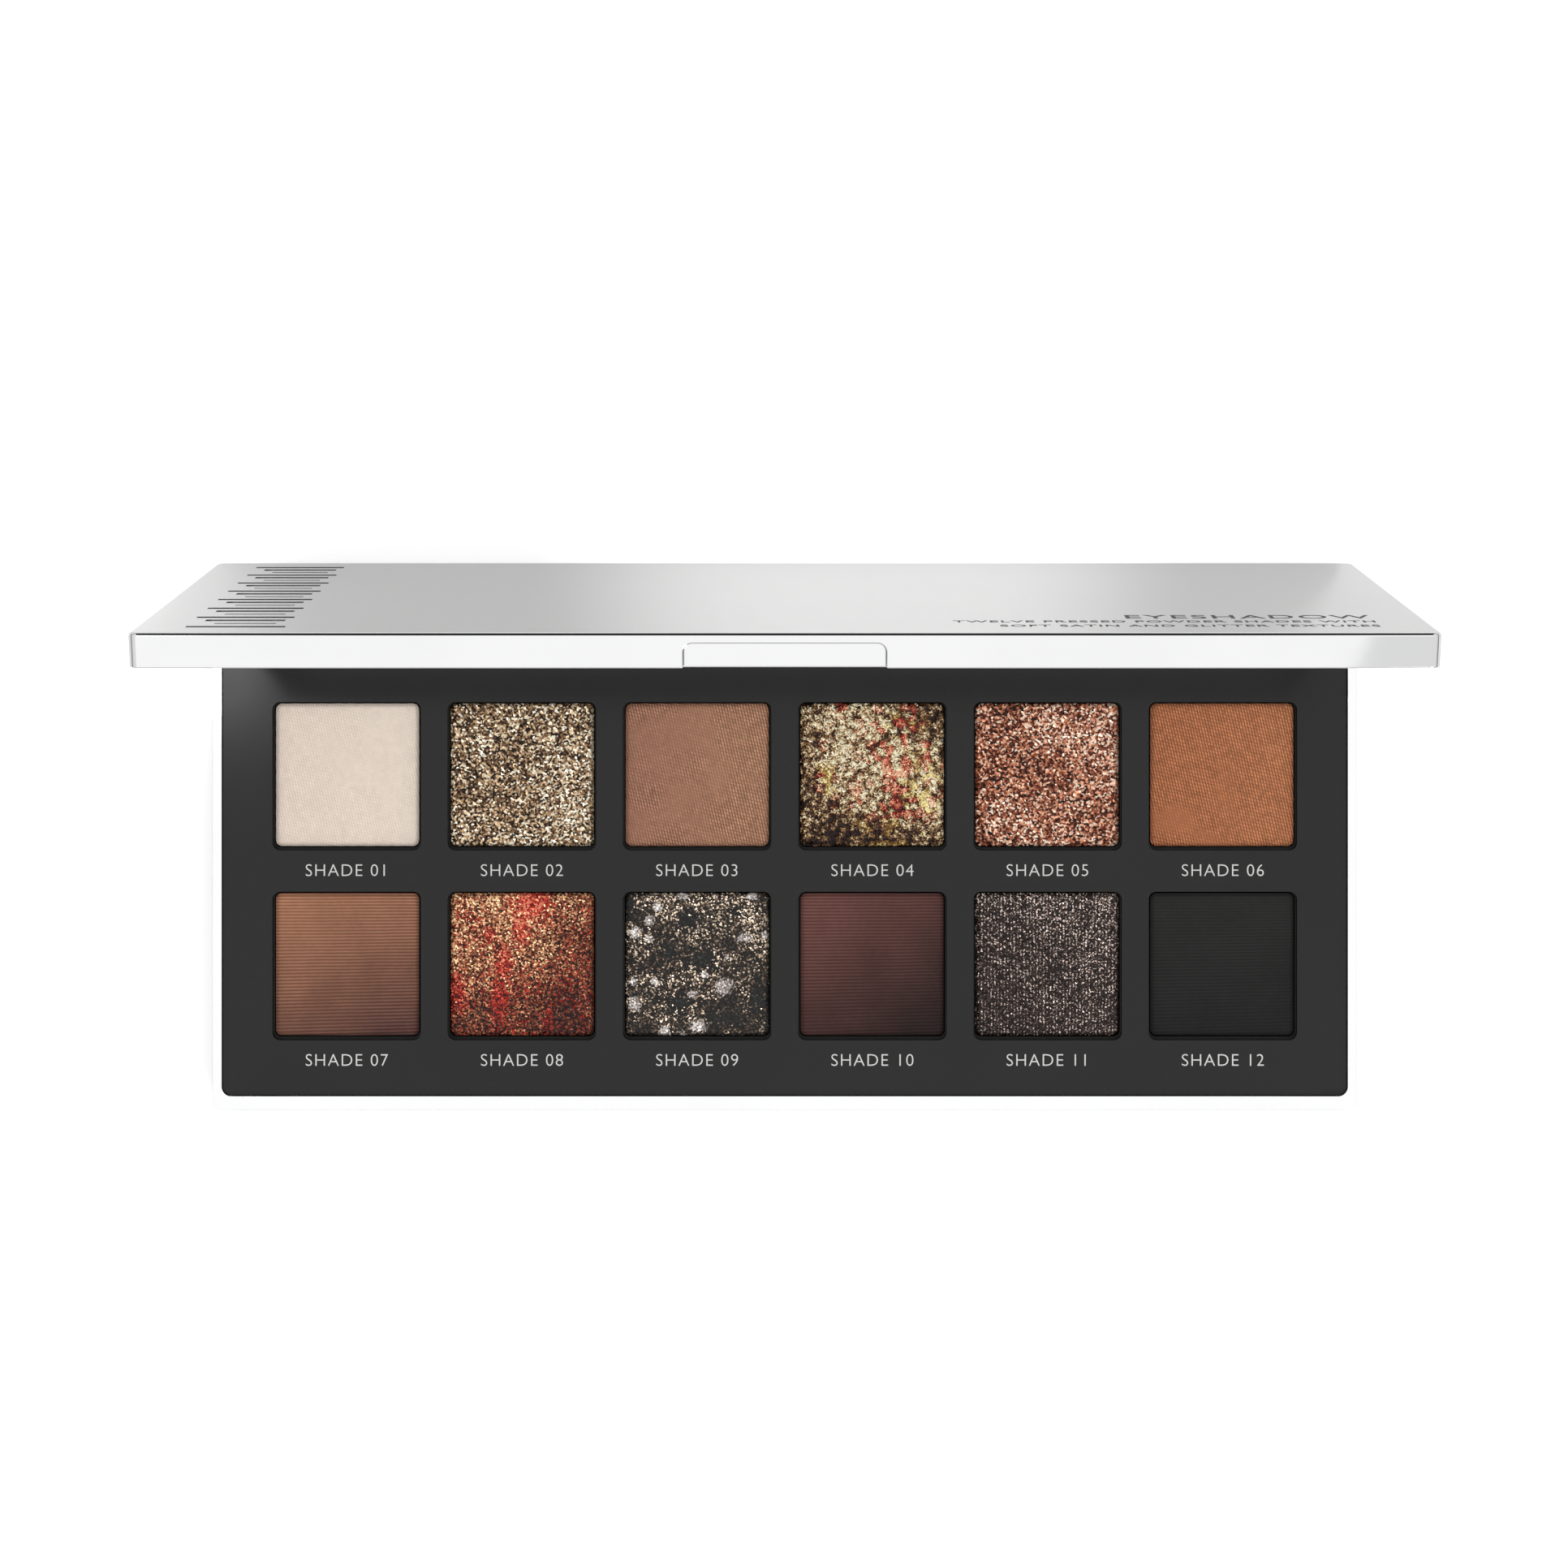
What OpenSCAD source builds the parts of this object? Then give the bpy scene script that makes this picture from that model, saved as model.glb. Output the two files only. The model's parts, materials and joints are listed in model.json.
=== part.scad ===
// Twelve-pan eyeshadow palette with a hinged mirror lid, standing open.
// Millimetres. +X runs along the width, +Y towards the hinge and +Z up.
// The origin is on the underside, at the centre of the closed outline.

/* [Outline] */
// Width of the closed palette
palette_w = 157; // [156:0.5:162]
// Depth of the closed palette, front to back
palette_d = 74.5; // [74.5:0.5:78]
// Radius of the four outer corners in plan
corner_r = 1.2; // [0.6:0.1:2]
// Height of the base, from the table to its rim
base_h = 7; // [7:0.1:8]
// Thickness of the lid
lid_h = 4.3; // [4.3:0.1:5]
// Angle that the lid stands open
open_angle = 80.3; // [0:0.1:105]

/* [Walls] */
// Thickness of the side walls and of the lid's back wall
side_wall = 1.3; // [1.1:0.1:1.4]
// Thickness of the front walls
front_wall = 1.9; // [1.6:0.1:2]
// Thickness of the base floor
floor_t = 1.3; // [1:0.1:1.3]
// Thickness of the lid's top
lid_top_t = 1; // [0.8:0.1:1.2]
// Width of the ledge that carries the insert plate
ledge_w = 1; // [0.6:0.1:1.2]

/* [Insert plate] */
// Depth of the plate's face below the rim
plate_recess = 0.5; // [0.2:0.1:0.8]
// Thickness of the plate
plate_t = 1; // [0.8:0.1:1.2]
// Side of each square opening
opening_w = 20.4; // [20.2:0.1:20.6]
// Corner radius of the openings
opening_r = 1.1; // [0.8:0.1:1.5]
// Depth of the step in each well, below the plate's face
step_depth = 1.2; // [1.1:0.1:1.4]
// Width of a well below its step
pocket_w = 20; // [19.9:0.1:20.1]
// Depth of a well below its step, front to back
pocket_d = 19.9; // [19.9:0.1:20]
// Thickness of the well walls and floors
well_t = 0.6; // [0.5:0.1:0.8]

/* [Pans] */
// Distance between pan centres along the width
pitch_x = 24.05; // [23.8:0.05:24.3]
// Distance between the two rows
pitch_y = 26.05; // [25.8:0.05:26.3]
// Place of the line midway between the rows
rows_mid_y = -4.5; // [-5:0.1:-4]
// Width of a pan
pan_w = 19.7; // [19.4:0.1:19.8]
// Depth of a pan, front to back
pan_d = 19.6; // [19.4:0.1:19.8]
// How far each pan, with its pocket, lies towards the hinge from the middle of its opening
pan_shift = 0.2; // [0:0.05:0.2]
// Thickness of the pan's metal
pan_metal = 0.35; // [0.3:0.05:0.5]
// Height of the powder above the pan's rim
crown_h = 0.45; // [0.3:0.05:0.5]

/* [Hinge] */
// Distance from the hinge axis to the back of the closed palette
hinge_inset = 4.9; // [4.8:0.05:5]
// Depth of the hinge axis below the rim of the base
hinge_drop = 0.5; // [0.4:0.05:0.6]
// Radius of the hinge knuckles
knuckle_r = 2.2; // [2:0.05:2.2]
// Radius of the hinge pins
pin_r = 0.8; // [0.6:0.05:1]
// Length of each lid knuckle
lid_knuckle_w = 14.7; // [10:0.1:18]

/* [Mirror] */
// Width of the mirror
mirror_w = 146.2; // [140:0.1:148]
// Depth of the mirror, front to back
mirror_d = 52.8; // [50:0.1:53]
// Thickness of the mirror glass
mirror_t = 1.1; // [0.8:0.1:1.2]

/* [Magnets] */
// Radius of the closing magnets
magnet_r = 2.2; // [1.5:0.1:2.2]
// Thickness of the closing magnets
magnet_t = 1.5; // [1:0.1:1.5]

/* [Hidden] */
$fn = 48;
columns = 6;
pan_count = 2 * columns;

// Gaps and fits
rim_gap = 0.12;         // between the two rims when closed
seat_gap = 0.1;         // round the insert plate and the mirror frame
peg_gap = 0.03;         // round a locating peg
running_gap = 0.05;     // round a pin in a lid knuckle
knuckle_gap = 0.3;      // between knuckles along the pin
overlap = 0.5;          // how far joined shapes run into each other

// Outline, from front to back
front_y = -palette_d / 2;
back_y = palette_d / 2;
base_back_y = back_y - 7.35;
base_back_wall = 1.3;
hinge_y = back_y - hinge_inset;
hinge_z = base_h - hinge_drop;

// Insert plate and its seat
plate_w = palette_w - 2 * side_wall - 2 * seat_gap;
plate_front_y = front_y + front_wall + seat_gap;
plate_back_y = base_back_y - base_back_wall - seat_gap;
plate_r = 1.3;
plate_z1 = base_h - plate_recess;
plate_z0 = plate_z1 - plate_t;

// Wells, pans and powder, from the bottom up
well_z0 = 1.5;
well_floor_z = well_z0 + well_t;
pocket_r = 0.95;
glue_t = 0.2;
glue_r = 3;
pan_z0 = well_floor_z + glue_t;
powder_z1 = plate_z1 - 1;
pan_z1 = powder_z1 - crown_h;
pan_corner_r = 0.85;

// Pegs and bosses. The front line lies between the wells and the front ledge.
wells_front_y = rows_mid_y - (pitch_y + opening_w) / 2 - well_t;
front_line_y = (wells_front_y + front_y + front_wall + ledge_w) / 2;
rear_line_y = 23.5;
corner_peg_x = 73.6;
peg_r = 1;
peg_z0 = 3;
boss_r = 2;
boss_z1 = plate_z0 - 0.2;
peg_bore_z0 = 2.6;
peg_places = concat(
    [for (x = [-2, 0, 2]) [x * pitch_x, rows_mid_y]],
    [for (x = [-1, 1], y = [front_line_y, rear_line_y]) [x * corner_peg_x, y]]
);
magnet_boss_r = magnet_r + 0.7;
magnet_x = 1.5 * pitch_x;
magnet_top_z = plate_z0 - 0.1;

// Lid, in its closed place
lid_z0 = base_h + rim_gap;
lid_z1 = lid_z0 + lid_h;
lid_inside_z = lid_z1 - lid_top_t;
frame_z0 = lid_z0 + 0.38;
frame_front_y = front_y + front_wall + seat_gap;
frame_back_y = hinge_y - knuckle_r - 0.85;
mirror_front_y = -27.5;
mirror_z0 = frame_z0 + 0.2;
tape_t = 0.25;
tape_z0 = mirror_z0 + mirror_t;
tape_z1 = tape_z0 + tape_t;
tape_margin = 3;
mirror_gap = 0.15;
lid_magnet_z0 = frame_z0 + 0.9;
recess_w = 24.3;
recess_h = 3;
recess_depth = 1;
recess_r = 1.1;

// Knuckles along the hinge
hinge_end_x = 75.5;
lid_knuckle_x1 = hinge_end_x - 15.65;
lid_knuckle_x0 = lid_knuckle_x1 - lid_knuckle_w;
centre_knuckle_x = lid_knuckle_x0 - knuckle_gap;
end_knuckle_x = lid_knuckle_x1 + knuckle_gap;
pin_x0 = centre_knuckle_x - 5;
pin_x1 = hinge_end_x - 0.3;

// Ledge along the base's back, which stops the lid
stop_y = hinge_y - 0.8;
stop_z0 = 0.9;
stop_z1 = 2.4;
stop_w = palette_w - 3;

// Blank label on the underside
label_size = [48, 24, 0.1];
label_x = 42;
label_r = 1;

shade_colours = [
    "#e0d1c1", "#b49a6c", "#9f735b", "#8c7d4e", "#b9825f", "#ad6f45",
    "#7d4d3c", "#93593a", "#3a3632", "#4f3531", "#4a423f", "#262626"
];

function numbered(word, i) = str(word, "_", i < 9 ? "0" : "", i + 1);
pan_names = [for (i = [0 : pan_count - 1]) numbered("pan", i)];
shade_names = [for (i = [0 : pan_count - 1]) numbered("shade", i)];

// Centre of well i: the first row is the back one, and each runs from left to right.
function well_x(i) = (i % columns - (columns - 1) / 2) * pitch_x;
function well_y(i) = rows_mid_y + (i < columns ? 0.5 : -0.5) * pitch_y;

module rounded_rect(w, d, r) {
    square([w - 2 * r, d], center = true);
    square([w, d - 2 * r], center = true);
    for (x = [-1, 1], y = [-1, 1])
        translate([x * (w / 2 - r), y * (d / 2 - r)]) circle(r = r);
}

// A block w wide about x = 0, between y0 and y1 and between z0 and z1
module block(w, y0, y1, r, z0, z1) {
    translate([0, (y0 + y1) / 2, z0])
        linear_extrude(z1 - z0) rounded_rect(w, y1 - y0, r);
}

// A square-cornered bar between two corners
module bar(low, high) {
    translate(low) cube(high - low);
}

module disc(place, r, z0, z1) {
    translate([place[0], place[1], z0]) cylinder(r = r, h = z1 - z0);
}

// A round bar on the hinge axis, from x0 to x1
module axle(r, x0, x1) {
    translate([x0, hinge_y, hinge_z]) rotate([0, 90, 0]) cylinder(r = r, h = x1 - x0);
}

module both_sides() {
    children();
    mirror([1, 0, 0]) children();
}

// Turns a lid part from its closed place to the angle at which the lid stands
module opened() {
    translate([0, hinge_y, hinge_z]) rotate([-open_angle, 0, 0])
        translate([0, -hinge_y, -hinge_z]) children();
}

// A knuckle of the base with the web that joins it to the back wall
module base_knuckle(x0, x1) {
    axle(knuckle_r, x0, x1);
    bar([x0, base_back_y - overlap, hinge_z - knuckle_r], [x1, hinge_y, base_h]);
}

module base_tray() {
    block(palette_w, front_y, base_back_y, corner_r, 0, base_h);
    bar([-stop_w / 2, base_back_y - overlap, stop_z0], [stop_w / 2, stop_y, stop_z1]);
    base_knuckle(-centre_knuckle_x, centre_knuckle_x);
    both_sides() base_knuckle(end_knuckle_x, hinge_end_x);
}

module base_hollow() {
    block(palette_w - 2 * side_wall, front_y + front_wall, base_back_y - base_back_wall,
        plate_r, plate_z0, base_h + 1);
    block(palette_w - 2 * (side_wall + ledge_w), front_y + front_wall + ledge_w,
        base_back_y - base_back_wall - ledge_w, plate_r, floor_t, base_h);
}

// Moves a pocket, a pan or its powder to its place in well i
module in_well(i) {
    translate([well_x(i), well_y(i) + pan_shift, 0]) children();
}

module base_shell() {
    color("silver") difference() {
        union() {
            difference() {
                base_tray();
                base_hollow();
            }
            for (place = peg_places) disc(place, boss_r, floor_t - overlap, boss_z1);
            both_sides() disc([magnet_x, front_line_y], magnet_boss_r, floor_t - overlap, magnet_top_z);
        }
        for (place = peg_places) disc(place, peg_r + peg_gap, peg_bore_z0, base_h);
        both_sides() disc([magnet_x, front_line_y], magnet_r, magnet_top_z - magnet_t, base_h);
        both_sides() axle(pin_r, pin_x0, hinge_end_x + 1);
        translate([label_x, 0, -1])
            linear_extrude(1 + label_size[2]) rounded_rect(label_size[0], label_size[1], label_r);
    }
}

module insert_plate() {
    color("#333333") difference() {
        union() {
            block(plate_w, plate_front_y, plate_back_y, plate_r, plate_z0, plate_z1);
            for (i = [0 : pan_count - 1])
                translate([well_x(i), well_y(i), well_z0])
                    linear_extrude(plate_z0 - well_z0 + overlap)
                        rounded_rect(opening_w + 2 * well_t, opening_w + 2 * well_t, opening_r + well_t);
            for (place = peg_places) disc(place, peg_r, peg_z0, plate_z0 + overlap);
        }
        for (i = [0 : pan_count - 1]) {
            translate([well_x(i), well_y(i), plate_z1 - step_depth])
                linear_extrude(base_h) rounded_rect(opening_w, opening_w, opening_r);
            in_well(i)
                block(pocket_w, -pocket_d / 2, pocket_d / 2, pocket_r, well_floor_z, base_h);
        }
    }
}

module pan(i) {
    color("#5b4a3f") in_well(i) difference() {
        block(pan_w, -pan_d / 2, pan_d / 2, pan_corner_r, pan_z0, pan_z1);
        block(pan_w - 2 * pan_metal, pan_metal - pan_d / 2, pan_d / 2 - pan_metal,
            pan_corner_r - pan_metal, pan_z0 + pan_metal, pan_z1 + 1);
    }
}

// Pressed powder: it fills the pan and stands over the pan's rim
module shade(i) {
    color(shade_colours[i]) in_well(i) {
        block(pan_w - 2 * pan_metal, pan_metal - pan_d / 2, pan_d / 2 - pan_metal,
            pan_corner_r - pan_metal, pan_z0 + pan_metal, pan_z1);
        block(pan_w, -pan_d / 2, pan_d / 2, pan_corner_r, pan_z1, powder_z1);
    }
}

module pan_glue_dots() {
    color("#d8d4c4")
        for (i = [0 : pan_count - 1])
            in_well(i) disc([0, 0], glue_r, well_floor_z, pan_z0);
}

module base_magnets() {
    color("#b8babd") both_sides()
        disc([magnet_x, front_line_y], magnet_r, magnet_top_z - magnet_t, magnet_top_z);
}

module bottom_label() {
    color("white") translate([label_x, 0, 0])
        linear_extrude(label_size[2]) rounded_rect(label_size[0], label_size[1], label_r);
}

module hinge_pin_right() {
    color("#9a9c9f") axle(pin_r, pin_x0, pin_x1);
}

module hinge_pin_left() {
    mirror([1, 0, 0]) hinge_pin_right();
}

// A knuckle of the lid with the web that joins it to the lid's top
module lid_knuckle() {
    axle(knuckle_r, lid_knuckle_x0, lid_knuckle_x1);
    bar([lid_knuckle_x0, hinge_y - knuckle_r, hinge_z],
        [lid_knuckle_x1, hinge_y + knuckle_r, lid_inside_z + overlap]);
}

module thumb_recess() {
    translate([0, front_y + recess_depth, lid_z0]) rotate([90, 0, 0])
        linear_extrude(recess_depth + 1) rounded_rect(recess_w, 2 * recess_h, recess_r);
}

module lid_shell() {
    color("silver") opened() difference() {
        union() {
            difference() {
                block(palette_w, front_y, back_y, corner_r, lid_z0, lid_z1);
                block(palette_w - 2 * side_wall, front_y + front_wall, back_y - side_wall,
                    plate_r, lid_z0 - 1, lid_inside_z);
            }
            both_sides() lid_knuckle();
        }
        thumb_recess();
        both_sides() axle(pin_r + running_gap, lid_knuckle_x0 - 1, lid_knuckle_x1 + 1);
    }
}

module mirror_frame() {
    color("#c9cbce") opened() difference() {
        block(plate_w, frame_front_y, frame_back_y, plate_r, frame_z0, lid_inside_z);
        block(mirror_w + 2 * mirror_gap, mirror_front_y - mirror_gap,
            mirror_front_y + mirror_d + mirror_gap, 1, frame_z0 - 1, tape_z1);
        both_sides() disc([magnet_x, front_line_y], magnet_r, lid_magnet_z0, lid_z1);
    }
}

module mirror_tape() {
    color("#e8e8e4") opened()
        block(mirror_w - 2 * tape_margin, mirror_front_y + tape_margin,
            mirror_front_y + mirror_d - tape_margin, 1, tape_z0, tape_z1);
}

module mirror_glass() {
    color("#dfe6ea") opened()
        block(mirror_w, mirror_front_y, mirror_front_y + mirror_d, 1, mirror_z0, tape_z0);
}

module lid_magnets() {
    color("#b8babd") opened() both_sides()
        disc([magnet_x, front_line_y], magnet_r, lid_magnet_z0, lid_magnet_z0 + magnet_t);
}

base_shell();
insert_plate();
for (i = [0 : pan_count - 1]) {
    pan(i);
    shade(i);
}
pan_glue_dots();
base_magnets();
bottom_label();
hinge_pin_left();
hinge_pin_right();
lid_shell();
mirror_frame();
mirror_tape();
mirror_glass();
lid_magnets();
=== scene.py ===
"""Looks of the twelve-pan eyeshadow palette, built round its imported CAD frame.

Metres, in the CAD frame: +X along the width, +Y towards the hinge and +Z up.
"""

import json
import math

import bmesh
import bpy
import numpy as np
from mathutils import Matrix, Vector


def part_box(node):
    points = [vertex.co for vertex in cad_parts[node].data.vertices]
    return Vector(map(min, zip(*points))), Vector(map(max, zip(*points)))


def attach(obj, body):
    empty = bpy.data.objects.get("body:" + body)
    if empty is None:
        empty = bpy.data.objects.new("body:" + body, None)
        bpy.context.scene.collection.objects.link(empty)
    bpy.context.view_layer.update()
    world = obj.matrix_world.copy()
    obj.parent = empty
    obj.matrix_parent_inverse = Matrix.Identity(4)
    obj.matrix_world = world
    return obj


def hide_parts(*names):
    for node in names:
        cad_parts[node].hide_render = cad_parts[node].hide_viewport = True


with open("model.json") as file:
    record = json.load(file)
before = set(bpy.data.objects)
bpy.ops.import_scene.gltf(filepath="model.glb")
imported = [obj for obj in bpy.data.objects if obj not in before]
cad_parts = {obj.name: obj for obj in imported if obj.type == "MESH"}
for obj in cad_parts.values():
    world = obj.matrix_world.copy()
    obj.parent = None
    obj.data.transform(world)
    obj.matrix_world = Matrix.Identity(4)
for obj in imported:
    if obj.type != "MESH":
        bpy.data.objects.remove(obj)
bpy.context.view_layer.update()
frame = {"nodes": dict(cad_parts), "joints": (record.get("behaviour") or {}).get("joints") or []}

MM = 0.001
HAIR = 0.01 * MM        # less than any real feature
HINGE = frame["joints"][0]
OPEN_ANGLE = math.radians(-HINGE["range_deg"][0])
PIVOT = Matrix.Translation(HINGE["pos_m"])
# Turns a lid point from its closed place to the place where the lid stands at rest.
OPENED = PIVOT @ Matrix.Rotation(OPEN_ANGLE, 4, HINGE["axis"]) @ PIVOT.inverted()

# The closed lid: its width, its depth and the height of its outer face.
CLOSED_LID = [OPENED.inverted() @ vert.co for vert in frame["nodes"]["lid_shell"].data.vertices]
LID_W = 2 * max(point.x for point in CLOSED_LID)
LID_D = 2 * max(point.y for point in CLOSED_LID)
LID_Z1 = max(point.z for point in CLOSED_LID)

PLATE_Z1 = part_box("insert_plate")[1].z
RIM_Z = PLATE_Z1 + 0.5 * MM     # the plate lies a little below the base's rim
SHADE_COUNT = 12
# How bright a white surface that faces up looks, and how bright a heap of white flakes looks.
LIT = 1.28
FLAKES_LIT = 1.65


def seen(red, green, blue, lit=LIT):
    """The albedo that shows as this colour, from 0 to 255 on screen, under the scene's light."""

    def linear(level):
        """Undoes the sRGB curve."""
        share = level / 255
        return ((share + 0.055) / 1.055) ** 2.4 if level > 10 else share / 12.92

    return tuple(min(linear(level) / lit, 1.0) for level in (red, green, blue))


# ---------------------------------------------------------------- noise in arrays

LATTICE = 256       # cells each way before lattice noise repeats
SCATTER = 64        # the same for lumps


def lattice(x, y, cell, seed):
    """Smooth noise from 0 to 1, with one random value at each corner of a square lattice."""
    values = np.random.default_rng(seed).random((LATTICE + 1, LATTICE + 1))
    gx, gy = x / cell + LATTICE / 2, y / cell + LATTICE / 2
    ix, iy = np.floor(gx).astype(int), np.floor(gy).astype(int)
    fx, fy = gx - ix, gy - iy
    fx, fy = fx * fx * (3 - 2 * fx), fy * fy * (3 - 2 * fy)
    ix, iy = ix % LATTICE, iy % LATTICE
    near = values[iy, ix] * (1 - fx) + values[iy, ix + 1] * fx
    far = values[iy + 1, ix] * (1 - fx) + values[iy + 1, ix + 1] * fx
    return near * (1 - fy) + far * fy


def layered(x, y, cell, seed, octaves=4):
    """Lattice noise at several scales, from 0 to 1."""
    total, weight = 0.0, 1.0
    for octave in range(octaves):
        total = total + weight * lattice(x, y, cell / 2**octave, seed + octave)
        weight *= 0.5
    return total / (2 - 2 * weight)


def lumps(x, y, cell, seed):
    """Rounded lumps from 0 to 1, each highest at a random centre, and a random number for each."""
    dice = np.random.default_rng(seed)
    places, numbers = dice.random((SCATTER, SCATTER, 2)), dice.random((SCATTER, SCATTER))
    gx, gy = x / cell + SCATTER / 2, y / cell + SCATTER / 2
    ix, iy = np.floor(gx).astype(int), np.floor(gy).astype(int)
    nearest, number = np.full(x.shape, 9.0), np.zeros(x.shape)
    for dy in (-1, 0, 1):
        for dx in (-1, 0, 1):
            row, column = (iy + dy) % SCATTER, (ix + dx) % SCATTER
            spot = places[row, column]
            away = np.hypot(ix + dx + spot[..., 0] - gx, iy + dy + spot[..., 1] - gy)
            number = np.where(away < nearest, numbers[row, column], number)
            nearest = np.minimum(nearest, away)
    return np.clip(1 - nearest, 0, 1), number


# ---------------------------------------------------------------- materials


class Shader:
    """One material, built outwards from its Principled shader."""

    def __init__(self, name, **values):
        self.material = bpy.data.materials.new(name)
        self.material.use_nodes = True
        self.tree = self.material.node_tree
        self.surface = self.tree.nodes["Principled BSDF"]
        for key, value in values.items():
            self.set(self.surface, key.replace("_", " ").title().replace("Ior", "IOR"), value)
        self.place = self.add("ShaderNodeTexCoord").outputs["Object"]

    def set(self, node, key, value):
        """Links value to the node's input if it is a socket, and otherwise sets it there."""
        socket = node.inputs[key]
        if isinstance(value, bpy.types.NodeSocket):
            self.tree.links.new(value, socket)
        elif socket.type == "RGBA":
            socket.default_value = (*value, 1.0)
        else:
            socket.default_value = value

    def add(self, kind, inputs=None, **settings):
        """A new node with its settings and inputs."""
        node = self.tree.nodes.new(kind)
        for key, value in settings.items():
            setattr(node, key, value)
        for key, value in (inputs or {}).items():
            self.set(node, key, value)
        return node

    def noise(self, size, detail=3.0, output=0):
        """Noise about 0.5 whose features are size metres across. output may be its Color."""
        inputs = {"Vector": self.place, "Scale": 1 / size, "Detail": detail}
        return self.add("ShaderNodeTexNoise", inputs).outputs[output]

    def cells(self, size, place):
        """A random colour for each cell, size metres across."""
        inputs = {"Vector": place, "Scale": 1 / size}
        return self.add("ShaderNodeTexVoronoi", inputs).outputs["Color"]

    def ramp(self, factor, stops, interpolation="LINEAR"):
        """Colours along factor. stops are (place, colour) pairs."""
        node = self.add("ShaderNodeValToRGB", {"Fac": factor})
        node.color_ramp.interpolation = interpolation
        while len(node.color_ramp.elements) < len(stops):
            node.color_ramp.elements.new(0.5)
        for element, (place, colour) in zip(node.color_ramp.elements, stops, strict=True):
            element.position = place
            element.color = (*colour, 1.0)
        return node.outputs["Color"]

    def math(self, operation, a, b, clamp=False):
        """Arithmetic on numbers."""
        node = self.add("ShaderNodeMath", {0: a, 1: b}, operation=operation, use_clamp=clamp)
        return node.outputs[0]

    def vector(self, operation, a, b=(0.0, 0.0, 0.0)):
        """Arithmetic on vectors."""
        inputs = {0: a, 1: b}
        return self.add("ShaderNodeVectorMath", inputs, operation=operation).outputs[0]

    def scaled(self, a, factor):
        """A vector times a number."""
        inputs = {0: a, "Scale": factor}
        return self.add("ShaderNodeVectorMath", inputs, operation="SCALE").outputs[0]

    def span(self, value, low, high):
        """Maps 0 to 1 onto low to high."""
        node = self.add("ShaderNodeMapRange", {"Value": value, "To Min": low, "To Max": high})
        return node.outputs[0]

    def mix(self, factor, a, b, blend="MIX"):
        """Two colours mixed. They are the sixth and seventh inputs, and the second output."""
        inputs = {0: factor, 6: a, 7: b}
        return self.add("ShaderNodeMix", inputs, data_type="RGBA", blend_type=blend).outputs[2]

    def bump(self, height, distance, strength=1.0):
        """Relief in the surface's normals, from a height in distance metres."""
        inputs = {"Height": height, "Distance": distance, "Strength": strength}
        self.set(self.surface, "Normal", self.add("ShaderNodeBump", inputs).outputs[0])

    def facets(self, colours, tilt):
        """Tilts the normal of each cell its own way, as loose flakes lie."""
        lean = self.scaled(self.vector("SUBTRACT", colours, (0.5, 0.5, 0.5)), tilt)
        upright = self.add("ShaderNodeNewGeometry").outputs["Normal"]
        tilted = self.vector("NORMALIZE", self.vector("ADD", upright, lean))
        self.set(self.surface, "Normal", tilted)

    def attribute(self, name):
        """The mesh attribute of that name."""
        return self.add("ShaderNodeAttribute", attribute_name=name)


def metallised_silver():
    """Vacuum-metallised plastic: a soft mirror with a trace of orange peel."""
    shader = Shader("metallised_silver", metallic=1.0, specular_tint=(0.605, 0.605, 0.602))
    shader.set(shader.surface, "Base Color", shader.ramp(shader.noise(16 * MM), [
        (0.3, (0.510, 0.511, 0.512)), (0.7, (0.524, 0.525, 0.526))]))
    shader.set(shader.surface, "Roughness", shader.span(shader.noise(9 * MM), 0.025, 0.05))
    shader.bump(shader.noise(3 * MM, detail=1.0), 0.001 * MM)
    return shader.material


def satin_silver():
    """The mirror's liner, moulded with a fine satin texture."""
    shader = Shader("satin_silver", metallic=1.0)
    shader.set(shader.surface, "Base Color", shader.ramp(shader.noise(12 * MM), [
        (0.3, (0.52, 0.53, 0.54)), (0.7, (0.60, 0.61, 0.62))]))
    shader.set(shader.surface, "Roughness", shader.span(shader.noise(6 * MM), 0.3, 0.42))
    shader.bump(shader.noise(0.12 * MM), 0.004 * MM)
    return shader.material


def satin_dark():
    """The insert plate: dark grey plastic with a fine spark-eroded texture, duller in its wells,
    where its colour is also a little darker: painted shade.
    """
    shader = Shader("satin_dark", specular_ior_level=0.135)
    height = shader.add("ShaderNodeSeparateXYZ", {"Vector": shader.place}).outputs["Z"]
    face = shader.math("GREATER_THAN", height, PLATE_Z1 - 0.3 * MM)
    tone = shader.ramp(shader.noise(14 * MM), [
        (0.3, (0.0090, 0.0090, 0.0088)), (0.7, (0.0102, 0.0102, 0.0100))])
    # painted shade: the wells get a slightly darker colour than the face
    shader.set(shader.surface, "Base Color", shader.mix(face, (0.009, 0.0088, 0.0082), tone))
    satin = shader.span(shader.noise(4 * MM), 0.11, 0.14)
    shader.set(shader.surface, "Roughness", shader.add(
        "ShaderNodeMapRange", {"Value": face, "To Min": 0.5, "To Max": satin}).outputs[0])
    shader.bump(shader.noise(0.1 * MM), 0.001 * MM, 0.3)
    return shader.material


def plain_metal(name, colour, roughness, size=0.4 * MM):
    """Drawn or plated metal with fine marks."""
    shader = Shader(name, metallic=1.0)
    shader.set(shader.surface, "Base Color", shader.ramp(shader.noise(size), [
        (0.3, tuple(0.85 * c for c in colour)), (0.7, colour)]))
    shader.set(shader.surface, "Roughness", shader.span(
        shader.noise(size * 3), roughness, roughness + 0.1))
    shader.bump(shader.noise(size), 0.004 * MM)
    return shader.material


def mirror_silver():
    """Silvered glass with the faintest smears."""
    shader = Shader("mirror_silver", base_color=(0.93, 0.95, 0.95), metallic=1.0)
    shader.set(shader.surface, "Roughness", shader.span(shader.noise(18 * MM), 0.008, 0.03))
    return shader.material


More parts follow.
